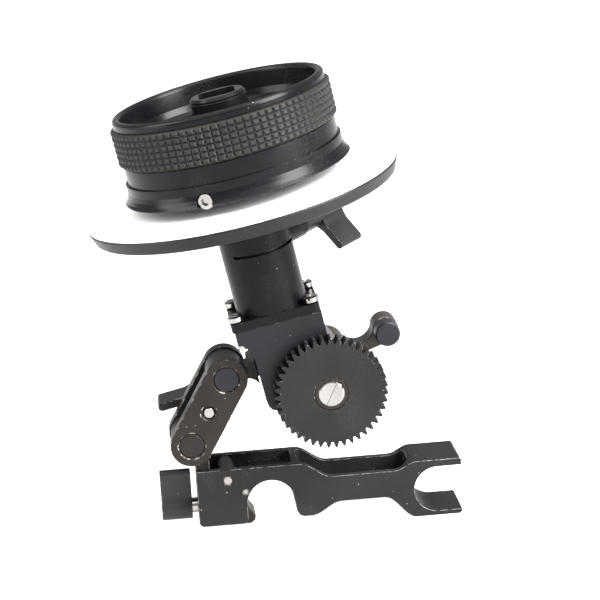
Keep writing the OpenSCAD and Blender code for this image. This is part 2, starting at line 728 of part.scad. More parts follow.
module marking_disc() color(WHITE) head() rotate_extrude()
  polygon([[sleeve_r, mark_w], [disc_r - 0.3, mark_w], [disc_r - 0.3, mark_top - 0.2],
    [disc_r - 0.5, mark_top], [sleeve_r, mark_top]]);

module disc_ring_nut() color(DARK) head() difference() {
  rotate_extrude() polygon([[sleeve_r, mark_top], [nut_r, mark_top], [nut_r, mark_top + nut_t - 0.3],
    [nut_r - 0.3, mark_top + nut_t], [sleeve_r, mark_top + nut_t]]);
  // four holes for a pin spanner
  for (a = [0:90:270]) rotate([0, 0, a])
    translate([(sleeve_r + nut_r) / 2, 0, mark_top + nut_t - 0.4]) cylinder(r = 0.7, h = 2);
}

// ---------- hand wheel ----------

module handwheel() color(BLACK) head() rotate_extrude()
  polygon(concat([[shaft_r + run_fit, mark_top + nut_t + 0.6], [boss_r - 0.4, mark_top + nut_t + 0.6],
    [boss_r, mark_top + nut_t + 1], [boss_r, web_low - 1.3], [boss_r + 1.4, web_low],
    [neck_r - 6.7, web_low], [neck_r - 5.5, web_low - 1.2], [neck_r - 5.5, collar_w + 1.2],
    [rim_bore_r, collar_w + 1.2], [rim_bore_r, collar_top], [neck_r, collar_top],
    [neck_r, grip_low], [grip_seat_r, grip_low], [grip_seat_r, grip_top],
    [neck_r, grip_top], [neck_r, lip_top - lip_t / 2]],
    arc(neck_r - lip_t / 2, lip_top - lip_t / 2, lip_t / 2, 0, 180, 8),
    [[neck_r - 3, dish_w + 3.5], [neck_r - 3.6, dish_w + 1.5], [neck_r - 5.1, dish_w + 0.4],
    [neck_r - 6.9, dish_w], [boss_r + 0.6, dish_w], [boss_r, dish_w + 0.6],
    [boss_r, lip_top - 1.8], [boss_r - 0.4, lip_top - 1.4], [socket_out_r + 0.1, lip_top - 1.4],
    [socket_out_r + 0.1, dish_w], [shaft_r + run_fit, dish_w]]));

// Plain band over the knurling's points, bevelled at both edges
module grip_band() color(BLACK) head() rotate_extrude()
  polygon([[grip_seat_r, grip_low], [grip_r - 1.6, grip_low], [grip_r, grip_low + 1.4],
    [grip_r, grip_top - 0.4], [grip_r - 0.4, grip_top], [grip_seat_r, grip_top]]);

// Positions of the two radial collar screws
module collar_screws() {
  for (a = [-110, 70]) rotate([0, 0, a]) translate([0, 0, collar_screw_w]) rotate([0, 90, 0]) children();
}

module wheel_collar() color(BLACK) head() difference() {
  rotate_extrude() polygon([[rim_bore_r + 0.05, collar_w], [collar_r + collar_flare - 0.4, collar_w],
    [collar_r + collar_flare, collar_w + 0.4], [collar_r + 0.62 * collar_flare, collar_w + 1.2],
    [collar_r + 0.25 * collar_flare, collar_w + 2.4], [collar_r, collar_w + 3.8],
    [collar_r, collar_top], [rim_bore_r + 0.05, collar_top]]);
  collar_screws() {
    translate([0, 0, collar_r - 1.9]) cylinder(r = 2.6, h = 6);
    translate([0, 0, rim_bore_r - 3]) cylinder(r = 1.5, h = 8);
  }
}

module wheel_set_screws() color(STEEL) head() difference() {
  collar_screws() {
    translate([0, 0, collar_r - 1.9]) pin(2.5, 1.9, 0.35);
    translate([0, 0, rim_bore_r + 0.15]) cylinder(r = 1.5, h = 2);
  }
  // hexagon sockets
  collar_screws() translate([0, 0, collar_r - 1.2]) linear_extrude(2)
    polygon([for (a = [0:60:300]) 1.4 * [cos(a), sin(a)]]);
}

module crank_socket() color(BLACK) head() difference() {
  rotate_extrude() polygon([[5, dish_w + 0.1], [socket_out_r, dish_w + 0.1],
    [socket_out_r, lip_top - 1.3], [boss_r - 0.2, lip_top - 1.3], [boss_r - 0.1, lip_top - 1],
    [boss_r - 0.9, lip_top - 0.1], [5, lip_top - 0.1]]);
  intersection() {
    translate([-socket_af / 2, -socket_af / 2, dish_w + 3.1]) cube([socket_af, socket_af, 10]);
    translate([0, 0, dish_w + 2.5]) cylinder(r = socket_r, h = 10);
  }
}

module wheel_shaft() color(STEEL) head() difference() {
  translate([0, 0, -4.9]) pin(shaft_r, shaft_top + 4.9, 0.4);
  translate([0, 0, shaft_top - 10.2]) cylinder(r = 2, h = 12);
}

module wheel_screw() color(STEEL) head() difference() {
  union() {
    translate([0, 0, dish_w - 8.5]) cylinder(r = 2, h = 9);
    translate([0, 0, dish_w]) pin(4.5, 1.9, 0.4);
  }
  translate([-5, -0.5, dish_w + 1.1]) cube([10, 1, 2]);
}

// ---------- gears ----------

// Half tooth angle at radius r of an involute tooth
function inv(a) = tan(a) * 180 / PI - a;
function tooth_half(r, rp, z, pa, play) =
  let(rb = rp * cos(pa), rr = max(r, rb + 0.001))
  90 / z - play / rp * 90 / PI + inv(pa) - inv(acos(rb / rr));

// Outline of a spur gear, or of a helical gear's cross section
module gear_2d(z, rp, ra, rf, pa, play, turn) {
  ring = [for (k = [0:z - 1]) for (i = [0:9]) let(
    rs = [rf, (rf + rp) / 2, rp, (rp + ra) / 2, ra, ra, (rp + ra) / 2, rp, (rf + rp) / 2, rf],
    s = i < 5 ? -1 : 1, r = rs[i],
    a = 360 * k / z + turn + s * (tooth_half(r, rp, z, pa, play) + (i == 0 || i == 9 ? 0.4 : 0)))
    [r * cos(a), r * sin(a)]];
  polygon(ring);
}

module helical(turn) {
  ra = helix_r + helix_m;
  rf = helix_r - 1.2 * helix_m;
  difference() {
    translate([0, 0, -helix_w / 2])
      rotate([0, 0, turn - helix_w / 2 / helix_r * 180 / PI])
        linear_extrude(helix_w, twist = -helix_w / helix_r * 180 / PI, slices = 12)
          gear_2d(helix_z, helix_r, ra, rf, 27, 0.3, 0);
    cylinder(r = shaft_r, h = helix_w + 1, center = true);
  }
}

module wheel_helical_gear() color(STEEL) head() helical(0);

module shaft_helical_gear() color(BRASS) head() translate([gear_u, 0, 0]) rotate([-90, 0, 0])
  helical(180 + 180 / helix_z);

module gear_shaft() color(STEEL) head() translate([gear_u, 0, 0]) rotate([-90, 0, 0]) difference() {
  union() {
    translate([0, 0, gear_y + 1.4]) cylinder(r = 3.5, h = gear_w);
    translate([0, 0, -flange_v - 0.55]) cylinder(r = 5.4, h = 0.5);
    translate([0, 0, -flange_v - 0.2]) cylinder(r = shaft_r, h = flange_v + helix_w / 2 + 0.2);
    translate([0, 0, 3]) cylinder(r = 2, h = 4.4);
  }
  translate([0, 0, gear_y]) cylinder(r = 1.5, h = 10);
}

module drive_gear() color(DARK) head() translate([gear_u, 0, 0]) rotate([-90, 0, 0]) difference() {
  translate([0, 0, gear_y]) linear_extrude(gear_w)
    gear_2d(gear_z, gear_m * gear_z / 2, gear_or, gear_or - 2.25 * gear_m, 20, 0.08, gear_phase);
  translate([0, 0, gear_y - 1]) cylinder(r = 3.5 + 0.01, h = gear_w + 2);
  translate([0, 0, gear_y - 1]) cylinder(r = 5.5, h = 2.2);
}

module gear_washer() color(BROWN) head() translate([gear_u, 0, 0]) rotate([-90, 0, 0]) difference() {
  translate([0, 0, gear_y + 0.1]) rotate_extrude()
    polygon([[1.6, 0], [5.2, 0], [5.4, 0.2], [5.4, 1.1], [1.6, 1.1]]);
  translate([0, 0, gear_y - 1]) cylinder(r = 4.25, h = 1.6);
}

module gear_screw() color(STEEL) head() translate([gear_u, 0, 0]) rotate([-90, 0, 0]) difference() {
  union() {
    translate([0, 0, gear_y - 0.15]) rotate_extrude()
      polygon([[0, 0], [3.6, 0], [4.05, 0.2], [4.15, 0.55], [4.15, 0.75], [0, 0.75]]);
    translate([0, 0, gear_y + 0.5]) cylinder(r = 1.5, h = 7);
  }
  translate([0, 0, gear_y]) rotate([0, 0, -52]) cube([9, 0.35, 0.5], center = true);
}

base_bridge();
jaw_pivot_pin();
jaw_stop_pin();
rod_clamp_jaw();
jaw_thrust_pad();
base_clamp_screw();
base_clamp_lever();
link_front_plate();
link_rear_plate();
link_lower_pin();
link_upper_pin();
link_clamp_screw();
link_clamp_lever();
swing_arm();
tilt_stud();
tilt_washer();
tilt_lever();
finger_stub();
gearbox_housing();
flange_screws();
neck_tube();
shaft_bush_lower();
shaft_bush_upper();
gear_shaft_bush();
disc_clamp_shoe();
disc_clamp_screw();
disc_clamp_lever();
disc_hub();
disc_backing();
marking_disc();
disc_ring_nut();
handwheel();
grip_band();
wheel_collar();
wheel_set_screws();
crank_socket();
wheel_shaft();
wheel_screw();
wheel_helical_gear();
gear_shaft();
shaft_helical_gear();
drive_gear();
gear_washer();
gear_screw();
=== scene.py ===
"""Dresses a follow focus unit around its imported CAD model, ready to render at rest or at any pose."""
import json
import logging
import math
from dataclasses import dataclass, field
from enum import Enum

import bpy
import bmesh
from mathutils import Matrix, Vector

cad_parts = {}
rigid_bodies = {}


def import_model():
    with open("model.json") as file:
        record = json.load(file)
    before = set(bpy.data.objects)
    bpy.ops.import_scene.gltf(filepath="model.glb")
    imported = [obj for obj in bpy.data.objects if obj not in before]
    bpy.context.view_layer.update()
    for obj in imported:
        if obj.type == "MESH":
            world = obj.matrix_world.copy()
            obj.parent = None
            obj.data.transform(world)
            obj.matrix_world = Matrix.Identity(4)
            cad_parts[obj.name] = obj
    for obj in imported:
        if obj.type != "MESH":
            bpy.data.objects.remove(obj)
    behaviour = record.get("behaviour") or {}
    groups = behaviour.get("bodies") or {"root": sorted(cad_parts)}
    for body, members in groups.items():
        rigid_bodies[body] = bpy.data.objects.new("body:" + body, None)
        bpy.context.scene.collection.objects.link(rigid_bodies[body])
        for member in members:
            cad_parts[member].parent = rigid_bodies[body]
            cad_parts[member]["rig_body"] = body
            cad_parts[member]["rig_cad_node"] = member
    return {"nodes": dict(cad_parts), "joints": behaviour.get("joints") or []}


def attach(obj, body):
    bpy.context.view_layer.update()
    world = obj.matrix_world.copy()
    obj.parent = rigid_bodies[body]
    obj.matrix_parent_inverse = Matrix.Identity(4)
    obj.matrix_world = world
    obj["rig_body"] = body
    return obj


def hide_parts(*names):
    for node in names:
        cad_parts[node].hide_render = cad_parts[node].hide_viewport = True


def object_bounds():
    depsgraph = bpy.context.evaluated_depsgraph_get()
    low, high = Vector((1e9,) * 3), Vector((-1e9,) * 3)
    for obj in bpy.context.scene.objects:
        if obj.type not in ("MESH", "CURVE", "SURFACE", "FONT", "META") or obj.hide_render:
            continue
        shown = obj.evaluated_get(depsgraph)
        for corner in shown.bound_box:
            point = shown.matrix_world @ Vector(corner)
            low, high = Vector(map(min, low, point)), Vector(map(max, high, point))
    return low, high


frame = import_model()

CAD_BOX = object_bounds()
MM = 0.001
MIX_A, MIX_B, MIX_RESULT = 6, 7, 2  # colour sockets of a Mix node
MERGE = 0.002 * MM
FLAT_ANGLE = math.radians(0.7)
SMOOTH_ANGLE = math.radians(28)
CAMERA_BEARING = -95
FLOOR_SIZE = 14
FLOOR_GAP = 0.05 * MM
LOG = logging.getLogger("follow_focus")


class Coat(Enum):
    """How a surface is made: oxide and bare metal conduct, lacquer and enamel don't."""

    LACQUER = "lacquer"
    OXIDE = "oxide"
    BARE = "bare"
    ENAMEL = "enamel"


# ---------- shared shader effects ----------


@dataclass
class Effect:
    """A shader node group that is built once and placed in many materials.

    Args:
        name: the group's name.
        inputs: float inputs and their defaults.
        outputs: float outputs.
    """

    name: str
    inputs: dict[str, float]
    outputs: tuple[str, ...]
    tree: bpy.types.NodeTree = field(init=False)

    def __post_init__(self) -> None:
        """Makes the group and its sockets, then fills it."""
        self.tree = bpy.data.node_groups.new(self.name, "ShaderNodeTree")
        for label, value in self.inputs.items():
            made = self.tree.interface.new_socket(label, in_out="INPUT", socket_type="NodeSocketFloat")
            made.default_value = value
        for label in self.outputs:
            self.tree.interface.new_socket(label, in_out="OUTPUT", socket_type="NodeSocketFloat")
        self.inside = self.add("NodeGroupInput")
        self.outside = self.add("NodeGroupOutput")
        self.place = self.add("ShaderNodeTexCoord").outputs["Object"]
        self.fill()

    def add(self, kind: str, **settings: object) -> bpy.types.Node:
        """Adds a node and sets its properties.

        Args:
            kind: the node's type.
            settings: its properties.

        Returns:
            The new node.
        """
        node = self.tree.nodes.new(kind)
        for label, value in settings.items():
            setattr(node, label, value)
        return node

    def wire(self, start: bpy.types.NodeSocket, end: bpy.types.NodeSocket) -> None:
        """Joins two sockets."""
        self.tree.links.new(start, end)

    def calc(self, how: str, *values: object) -> bpy.types.NodeSocket:
        """Adds a Math node.

        Args:
            how: its operation.
            values: sockets or numbers.

        Returns:
            The node's output.
        """
        node = self.add("ShaderNodeMath", operation=how)
        for slot, value in zip(node.inputs, values):
            if isinstance(value, (int, float)):
                slot.default_value = value
            else:
                self.wire(value, slot)
        return node.outputs[0]

    def ramp(self, value: bpy.types.NodeSocket, low: object, high: object) -> bpy.types.NodeSocket:
        """Maps low..high to 0..1 with soft ends.

        Args:
            value: the socket to map.
            low: the value that gives 0.
            high: the value that gives 1.

        Returns:
            The mapped value.
        """
        node = self.add("ShaderNodeMapRange", interpolation_type="SMOOTHSTEP")
        self.wire(value, node.inputs[0])
        for slot, end in ((node.inputs[1], low), (node.inputs[2], high)):
            if isinstance(end, (int, float)):
                slot.default_value = end
            else:
                self.wire(end, slot)
        return node.outputs[0]

    def noise(self, scale: object, detail: float, stretch: tuple[float, float, float] = (1, 1, 1),
              turn: tuple[float, float, float] = (0, 0, 0)) -> bpy.types.NodeSocket:
        """Adds a noise texture on object coordinates.

        Args:
            scale: a number or a socket, in features per metre.
            detail: octaves.
            stretch: how much finer the pattern is along each axis.
            turn: rotation of the pattern, in radians.

        Returns:
            The noise value.
        """
        place = self.add("ShaderNodeMapping")
        place.inputs["Rotation"].default_value = turn
        place.inputs["Scale"].default_value = stretch
        self.wire(self.place, place.inputs[0])
        node = self.add("ShaderNodeTexNoise")
        node.inputs["Detail"].default_value = detail
        self.wire(place.outputs[0], node.inputs["Vector"])
        if isinstance(scale, (int, float)):
            node.inputs["Scale"].default_value = scale
        else:
            self.wire(scale, node.inputs["Scale"])
        return node.outputs[0]

    def fill(self) -> None:
        """Builds the effect between the group's input and output."""


class Grain(Effect):
    """Fine blasted or cast grain with slow clouds over it."""

    def fill(self) -> None:
        """Puts out the clouds as Tone and the fine grain as Height."""
        inside = self.inside.outputs
        fine = self.noise(inside["Fine scale"], 3)
        slow = self.noise(inside["Cloud scale"], 4)
        mixed = self.calc("ADD", self.calc("MULTIPLY", slow, 0.7), self.calc("MULTIPLY", fine, 0.3))
        self.wire(self.ramp(mixed, 0.3, 0.7), self.outside.inputs["Tone"])
        self.wire(fine, self.outside.inputs["Height"])


class Scratches(Effect):
    """Thin scratches in several directions that come and go."""

    def fill(self) -> None:
        """Sums four stretched noises, each cut to a thin line, inside patches."""
        inside = self.inside.outputs
        turns = ((0.3, 0.2, 0.5), (1.2, 0.4, 1.9), (0.2, 1.3, 2.7), (2.2, 0.9, 0.1))
        total = None
        for turn in turns:
            streak = self.noise(inside["Scale"], 1.5, (1, 0.035, 1), turn)
            near = self.calc("ABSOLUTE", self.calc("SUBTRACT", streak, 0.5))
            line = self.calc("SUBTRACT", 1, self.ramp(near, 0, inside["Width"]))
            total = line if total is None else self.calc("MAXIMUM", total, line)
        patch = self.ramp(self.noise(inside["Patch scale"], 2, (1, 1, 1), (0, 0.7, 0.4)),
                          inside["Patch edge"], self.calc("ADD", inside["Patch edge"], 0.12))
        self.wire(self.calc("MULTIPLY", total, patch), self.outside.inputs["Mask"])


class Specks(Effect):
    """Small pale specks, such as dust and chips."""

    def fill(self) -> None:
        """Cuts a cell texture to dots and keeps a few of them."""
        inside = self.inside.outputs
        cells = self.add("ShaderNodeTexVoronoi")
        self.wire(self.place, cells.inputs["Vector"])
        self.wire(inside["Scale"], cells.inputs["Scale"])
        dot = self.calc("SUBTRACT", 1, self.ramp(cells.outputs["Distance"], 0.06, 0.14))
        shade = self.add("ShaderNodeSeparateColor")
        self.wire(cells.outputs["Color"], shade.inputs[0])
        kept = self.calc("LESS_THAN", shade.outputs[0], inside["Share"])
        self.wire(self.calc("MULTIPLY", dot, kept), self.outside.inputs["Mask"])


class Wear(Effect):
    """Rubbed edges: where a rounded corner's normal leaves the true one, broken up by noise."""

    def fill(self) -> None:
        """Compares the rounded normal with the true one."""
        inside = self.inside.outputs
        round_edge = self.add("ShaderNodeBevel", samples=6)
        self.wire(inside["Radius"], round_edge.inputs["Radius"])
        true = self.add("ShaderNodeNewGeometry")
        match = self.add("ShaderNodeVectorMath", operation="DOT_PRODUCT")
        self.wire(round_edge.outputs[0], match.inputs[0])
        self.wire(true.outputs["Normal"], match.inputs[1])
        edge = self.ramp(self.calc("SUBTRACT", 1, match.outputs["Value"]), 0.02, 0.2)
        rub = self.ramp(self.noise(inside["Break scale"], 5), self.calc("SUBTRACT", 0.62, inside["Amount"]),
                        self.calc("SUBTRACT", 0.76, inside["Amount"]))
        self.wire(self.calc("MULTIPLY", edge, rub), self.outside.inputs["Mask"])
        self.wire(rub, self.outside.inputs["Rub"])


@dataclass
class Effects:
    """The four effects that the finishes share."""

    grain: Effect = field(default_factory=lambda: Grain(
        "grain", {"Fine scale": 2500.0, "Cloud scale": 60.0}, ("Tone", "Height")))
    scratches: Effect = field(default_factory=lambda: Scratches(
        "scratches", {"Scale": 900.0, "Width": 0.01, "Patch scale": 40.0, "Patch edge": 0.5}, ("Mask",)))
    specks: Effect = field(default_factory=lambda: Specks(
        "specks", {"Scale": 700.0, "Share": 0.05}, ("Mask",)))
    wear: Effect = field(default_factory=lambda: Wear(
        "edge_wear", {"Radius": 0.00025, "Break scale": 700.0, "Amount": 0.1}, ("Mask", "Rub")))


# ---------- finishes ----------


@dataclass(frozen=True)
class Finish:
    """One surface finish, with the wear that the unit shows.

    Args:
        name: the material's name.
        coat: how the surface is made.
        colour: its colour, linear.
        bare: the colour under it, where it is rubbed or scratched.
        rough: its roughness.
        tone: how far the clouds lighten and darken it.
        bump: height of the grain.
        fine: grain per metre.
        worn: how much of an edge is rubbed, from 0 to about 0.3.
        worn_r: radius of a rubbed edge in metres.
        scratched: strength of the scratches.
        scratch_edge: how much is left unscratched.
        specks: share of specks.
        shine: strength of the reflection, from 0 to 1, where 0.5 is plain lacquer.
    """

    name: str
    coat: Coat
    colour: tuple[float, float, float]
    bare: tuple[float, float, float]
    rough: float
    tone: float = 0.25
    bump: float = 0.02
    fine: float = 2500.0
    worn: float = 0.08
    worn_r: float = 0.00025
    scratched: float = 0.3
    scratch_edge: float = 0.5
    specks: float = 0.03
    shine: float = 0.3

    def material(self, effects: Effects, rubbed: bool = False) -> bpy.types.Material:
        """Builds the material, or its rubbed form for bevelled edges.

        Args:
            effects: the shared node groups.
            rubbed: True for the faces of a bevelled edge.

        Returns:
            The material.
        """
        label = self.name + ("_edge" if rubbed else "")
        found = bpy.data.materials.get(label)
        if found is not None:
            return found
        made = bpy.data.materials.new(label)
        made.use_nodes = True
        tree = made.node_tree
        shader = tree.nodes["Principled BSDF"]
        used = {}
        for key, effect in (("grain", effects.grain), ("scratches", effects.scratches),
                            ("specks", effects.specks), ("wear", effects.wear)):
            used[key] = tree.nodes.new("ShaderNodeGroup")
            used[key].node_tree = effect.tree
        used["grain"].inputs["Fine scale"].default_value = self.fine
        used["scratches"].inputs["Patch edge"].default_value = self.scratch_edge
        used["specks"].inputs["Share"].default_value = self.specks
        used["wear"].inputs["Radius"].default_value = self.worn_r
        used["wear"].inputs["Amount"].default_value = self.worn

        def math_node(how: str, first: object, second: object) -> bpy.types.NodeSocket:
            """Adds a clamped Math node and returns its output."""
            node = tree.nodes.new("ShaderNodeMath")
            node.operation = how
            node.use_clamp = True
            for slot, value in zip(node.inputs, (first, second)):
                if isinstance(value, (int, float)):
                    slot.default_value = value
                else:
                    tree.links.new(value, slot)
            return node.outputs[0]

        wear = used["wear"].outputs["Rub" if rubbed else "Mask"]
        scratch = math_node("MULTIPLY", used["scratches"].outputs["Mask"], self.scratched)
        worn = math_node("MAXIMUM", wear, math_node("MAXIMUM", scratch, used["specks"].outputs["Mask"]))
        shade = tree.nodes.new("ShaderNodeMix")
        shade.data_type = "RGBA"
        for index, share in ((MIX_A, 1 - self.tone), (MIX_B, 1 + self.tone)):
            shade.inputs[index].default_value = (*(min(1.0, part * share) for part in self.colour), 1)
        tree.links.new(used["grain"].outputs["Tone"], shade.inputs[0])
        colour = tree.nodes.new("ShaderNodeMix")
        colour.data_type = "RGBA"
        colour.inputs[MIX_B].default_value = (*self.bare, 1)
        tree.links.new(worn, colour.inputs[0])
        tree.links.new(shade.outputs[MIX_RESULT], colour.inputs[MIX_A])
        tree.links.new(colour.outputs[MIX_RESULT], shader.inputs["Base Color"])
        rough = math_node("ADD", self.rough - 0.05, math_node("MULTIPLY", used["grain"].outputs["Tone"], 0.1))
        tree.links.new(rough, shader.inputs["Roughness"])
        if self.coat in (Coat.BARE, Coat.OXIDE):
            shader.inputs["Metallic"].default_value = 1.0 if self.coat is Coat.BARE else 0.55
        else:
            tree.links.new(math_node("MULTIPLY", worn, 0.8), shader.inputs["Metallic"])
        shader.inputs["Specular IOR Level"].default_value = self.shine
        bump = tree.nodes.new("ShaderNodeBump")
        bump.inputs["Distance"].default_value = 0.0001
        bump.inputs["Strength"].default_value = self.bump
        tree.links.new(used["grain"].outputs["Height"], bump.inputs["Height"])
        tree.links.new(bump.outputs[0], shader.inputs["Normal"])
        return made


STEEL = (0.32, 0.305, 0.295)
WORN = (0.20, 0.19, 0.18)
WORN_BRIGHT = (0.45, 0.43, 0.40)
WHEEL_BLACK = Finish("wheel_black", Coat.LACQUER, (0.004, 0.004, 0.005), WORN, 0.24, bump=0.01,
                     worn=0.02, scratched=0.10, scratch_edge=0.52, specks=0.02, shine=0.13)
TUBE_BLACK = Finish("tube_black", Coat.LACQUER, (0.004, 0.004, 0.005), WORN, 0.32, bump=0.03,
                    worn=0.03, scratched=0.08, scratch_edge=0.56, specks=0.1, shine=0.1)
BOX_BLACK = Finish("box_black", Coat.LACQUER, (0.007, 0.007, 0.009), WORN, 0.42, bump=0.05,
                   worn=0.03, scratched=0.08, scratch_edge=0.58, specks=0.1, shine=0.2)
LEVER_BLACK = Finish("lever_black", Coat.LACQUER, (0.009, 0.009, 0.010), WORN, 0.4, bump=0.03,
                     worn=0.14, scratched=0.12, scratch_edge=0.55, specks=0.02, shine=0.25)
DISC_BLACK = Finish("disc_black", Coat.LACQUER, (0.009, 0.008, 0.008), WORN, 0.42, bump=0.02,
                    worn=0.05, scratched=0.08, scratch_edge=0.55, specks=0.02, shine=0.2)
BRIDGE_GREY = Finish("bridge_grey", Coat.LACQUER, (0.009, 0.008, 0.008), WORN_BRIGHT, 0.5, bump=0.05,
                     worn=0.2, scratched=0.2, scratch_edge=0.52, specks=0.08, shine=0.17)
GEAR_GREY = Finish("gear_grey", Coat.LACQUER, (0.009, 0.009, 0.009), WORN, 0.5, bump=0.03,
                   worn=0.1, scratched=0.08, scratch_edge=0.6, specks=0.02, shine=0.17)
OXIDE_BROWN = Finish("oxide_brown", Coat.OXIDE, (0.020, 0.017, 0.015), (0.25, 0.23, 0.21), 0.45, bump=0.03,
                     worn=0.09, scratched=0.14, scratch_edge=0.54, specks=0.03, shine=0.2)
PIN_BROWN = Finish("pin_brown", Coat.OXIDE, (0.018, 0.016, 0.015), WORN, 0.45, bump=0.03,
                   worn=0.0, scratched=0.12, scratch_edge=0.54, specks=0.02, shine=0.2)
OXIDE_BLUE = Finish("oxide_blue", Coat.OXIDE, (0.020, 0.020, 0.023), WORN, 0.42, bump=0.02,
                    worn=0.05, scratched=0.1, scratch_edge=0.56, specks=0.02, shine=0.2)
CAST_GREY = Finish("cast_grey", Coat.OXIDE, (0.05, 0.044, 0.040), WORN, 0.5, bump=0.04,
                   worn=0.1, scratched=0.1, scratch_edge=0.56, specks=0.02, shine=0.25)
GRIP_GREY = Finish("grip_grey", Coat.LACQUER, (0.010, 0.009, 0.008), (0.09, 0.085, 0.08), 0.5, bump=0.02,
                   worn=0.18, worn_r=0.00012, scratched=0.05, specks=0.02, shine=0.25)
BRIGHT_STEEL = Finish("ground_steel", Coat.BARE, STEEL, (0.15, 0.14, 0.13), 0.18, tone=0.2,
                      bump=0.02, worn=0.02, scratched=0.2, specks=0.0)
PLAIN_BRASS = Finish("turned_brass", Coat.BARE, (0.5, 0.34, 0.17), (0.6, 0.5, 0.35), 0.3, specks=0.0)
WHITE_ENAMEL = Finish("white_enamel", Coat.ENAMEL, (0.95, 0.95, 0.94), (0.6, 0.59, 0.57), 0.35,
                      tone=0.02, bump=0.0, worn=0.0, scratched=0.15, scratch_edge=0.66, specks=0.006)

NODE_FINISH = {
    "base_bridge": BRIDGE_GREY, "rod_clamp_jaw": OXIDE_BROWN, "jaw_pivot_pin": BRIGHT_STEEL,
    "jaw_stop_pin": BRIGHT_STEEL, "jaw_thrust_pad": BRIGHT_STEEL, "base_clamp_screw": BRIGHT_STEEL,
    "base_clamp_lever": LEVER_BLACK, "link_front_plate": OXIDE_BROWN, "link_rear_plate": OXIDE_BROWN,
    "link_lower_pin": PIN_BROWN, "link_upper_pin": OXIDE_BLUE, "link_clamp_screw": BRIGHT_STEEL,
    "link_clamp_lever": LEVER_BLACK, "swing_arm": OXIDE_BROWN, "tilt_stud": BRIGHT_STEEL,
    "tilt_washer": BRIGHT_STEEL, "tilt_lever": CAST_GREY, "finger_stub": OXIDE_BLUE,
    "gearbox_housing": BOX_BLACK, "flange_screws": BRIGHT_STEEL, "neck_tube": TUBE_BLACK,
    "shaft_bush_lower": PLAIN_BRASS, "shaft_bush_upper": PLAIN_BRASS, "gear_shaft_bush": PLAIN_BRASS,
    "disc_clamp_shoe": PLAIN_BRASS, "disc_clamp_screw": BRIGHT_STEEL, "disc_clamp_lever": LEVER_BLACK,
    "disc_hub": DISC_BLACK, "disc_backing": DISC_BLACK, "marking_disc": WHITE_ENAMEL,
    "disc_ring_nut": DISC_BLACK, "handwheel": WHEEL_BLACK, "grip_band": GRIP_GREY,
    "wheel_collar": WHEEL_BLACK, "wheel_set_screws": BRIGHT_STEEL, "crank_socket": WHEEL_BLACK,
    "wheel_shaft": BRIGHT_STEEL, "wheel_screw": BRIGHT_STEEL, "wheel_helical_gear": BRIGHT_STEEL,
    "gear_shaft": BRIGHT_STEEL, "shaft_helical_gear": PLAIN_BRASS, "drive_gear": GEAR_GREY,
    "gear_washer": OXIDE_BROWN, "gear_screw": BRIGHT_STEEL,
}


# ---------- modelling by hand ----------


def deselect_all() -> None:
    """Leaves nothing selected."""
    if bpy.context.object is not None and bpy.context.object.mode != "OBJECT":
        bpy.ops.object.mode_set(mode="OBJECT")
    bpy.ops.object.select_all(action="DESELECT")


def take(piece: bpy.types.Object) -> None:
    """Makes a piece the only one selected, and the active one."""
    deselect_all()
    piece.select_set(True)
    bpy.context.view_layer.objects.active = piece


def settle(piece: bpy.types.Object, name: str, body: str) -> bpy.types.Object:
    """Names a finished piece, puts its place in its mesh and lets it ride.

    Args:
        piece: the finished piece.
        name: its name.
        body: the CAD body it rides on.

    Returns:
        The piece.
    """
    take(piece)
    bpy.ops.object.transform_apply(location=True, rotation=True, scale=True)
    piece.name = name
    piece.data.name = name
    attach(piece, body)
    LOG.info("%s rides on %s, %d faces", name, body, len(piece.data.polygons))
    return piece


@dataclass
class SoftenedNode:
    """A CAD node's copy whose sharp outer edges are bevelled, and rubbed bare in places.

    Args:
        node: the CAD node it stands for.
        width: the bevel's width in metres.
        angle: the least angle of an edge that is bevelled, in degrees.
    """

    node: str
    width: float = 0.25 * MM
    angle: float = 32.0

    def copy(self) -> bpy.types.Object:
        """Copies the CAD node and merges its loose triangles."""
        source = frame["nodes"][self.node]
        piece = source.copy()
        piece.data = source.data.copy()
        piece.parent = None
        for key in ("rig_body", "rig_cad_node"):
            if key in piece:
                del piece[key]
        bpy.context.scene.collection.objects.link(piece)
        take(piece)
        bpy.ops.object.mode_set(mode="EDIT")
        bpy.ops.mesh.select_all(action="SELECT")
        bpy.ops.mesh.remove_doubles(threshold=MERGE)
        bpy.ops.mesh.dissolve_limited(angle_limit=FLAT_ANGLE)
        return piece

    def bevel(self, piece: bpy.types.Object) -> None:
        """Selects the sharp outer edges by their angle and bevels them.

        Args:
            piece: the copy, in edit mode.
        """
        bpy.ops.mesh.select_all(action="DESELECT")
        bpy.ops.mesh.select_mode(type="EDGE")
        mesh = bmesh.from_edit_mesh(piece.data)
        for edge in mesh.edges:
            sharp = edge.is_manifold and edge.is_convex and edge.calc_face_angle(0) > math.radians(self.angle)
            edge.select_set(bool(sharp))
        bmesh.update_edit_mesh(piece.data)
        bpy.ops.mesh.bevel(offset=self.width, segments=2, affect="EDGES", clamp_overlap=True, material=1)
        bpy.ops.object.mode_set(mode="OBJECT")

    def build(self, effects: Effects) -> bpy.types.Object:
        """Makes the piece, dresses it and lets it stand for the node.

        Args:
            effects: the shared node groups.

        Returns:
            The piece.
        """
        piece = self.copy()
        finish = NODE_FINISH[self.node]
        piece.data.materials.clear()
        piece.data.materials.append(finish.material(effects))
        piece.data.materials.append(finish.material(effects, rubbed=True))
        self.bevel(piece)
        take(piece)
        bpy.ops.object.shade_smooth_by_angle(angle=SMOOTH_ANGLE)
        bpy.ops.object.modifier_add(type="WEIGHTED_NORMAL")
        piece.modifiers[-1].keep_sharp = True
        bpy.ops.object.modifier_apply(modifier=piece.modifiers[-1].name)
        body = frame["nodes"][self.node]["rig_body"]
        settle(piece, self.node + "_dressed", body)
        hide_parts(self.node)
        return piece


